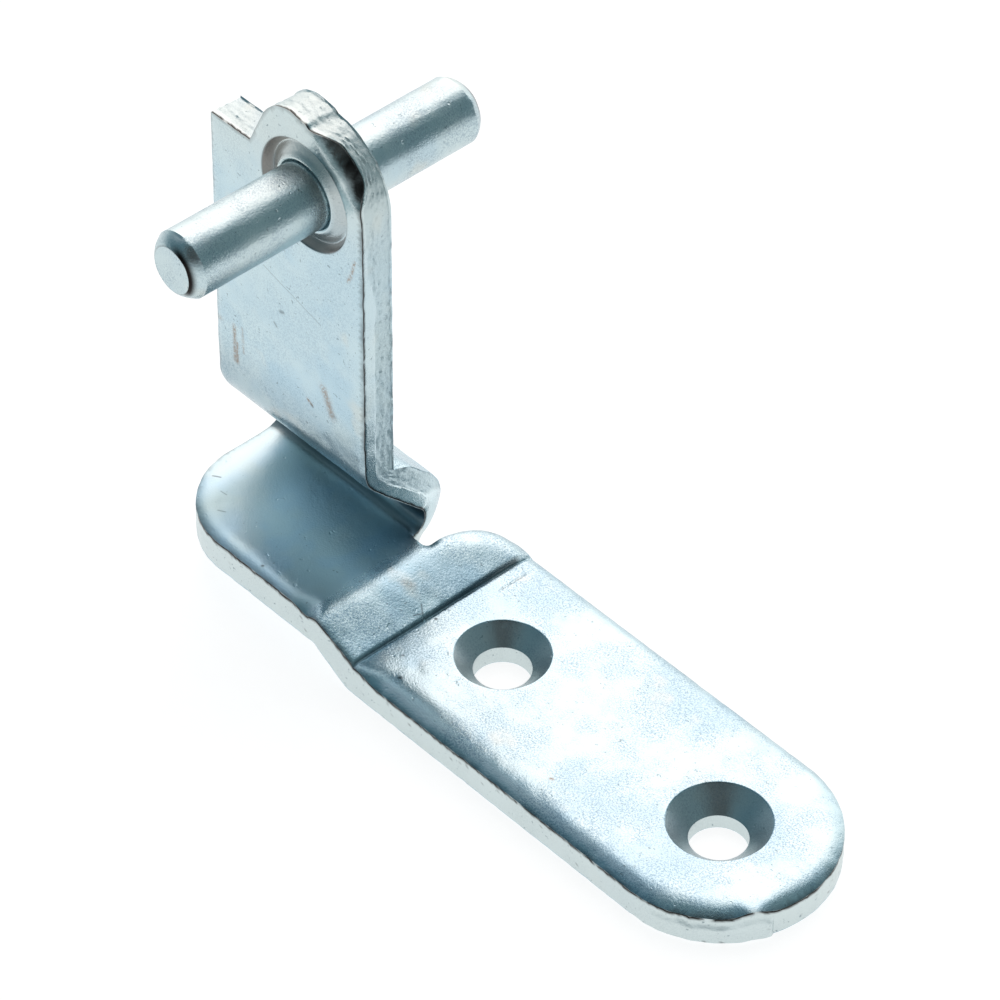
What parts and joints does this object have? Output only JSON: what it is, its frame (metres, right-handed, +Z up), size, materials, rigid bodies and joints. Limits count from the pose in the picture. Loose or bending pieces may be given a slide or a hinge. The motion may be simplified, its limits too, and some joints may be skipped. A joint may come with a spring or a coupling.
{
  "type": "strap hinge pin leaf",
  "caption": "Pin leaf of a strap hinge: a folded zinc-plated steel plate with countersunk screw holes and an upright ear that carries a staked hinge pin.",
  "frame": {"origin": "midway between the two screw holes, on the underside that screws down", "axes": "+X along the strap to its round free end, +Y along the hinge pin away from the side the fold opens to, +Z up out of the countersunk face"},
  "size_m": [0.1014, 0.046, 0.0728],
  "materials": {
    "plated_plate": "zinc plated, pale blue passivated, satin",
    "plated_pin": "zinc plated, pale blue passivated, semi-bright"
  },
  "bodies": {
    "root": {"strap_bracket": "plated_plate", "hinge_pin": "plated_pin"}
  },
  "joints": []
}
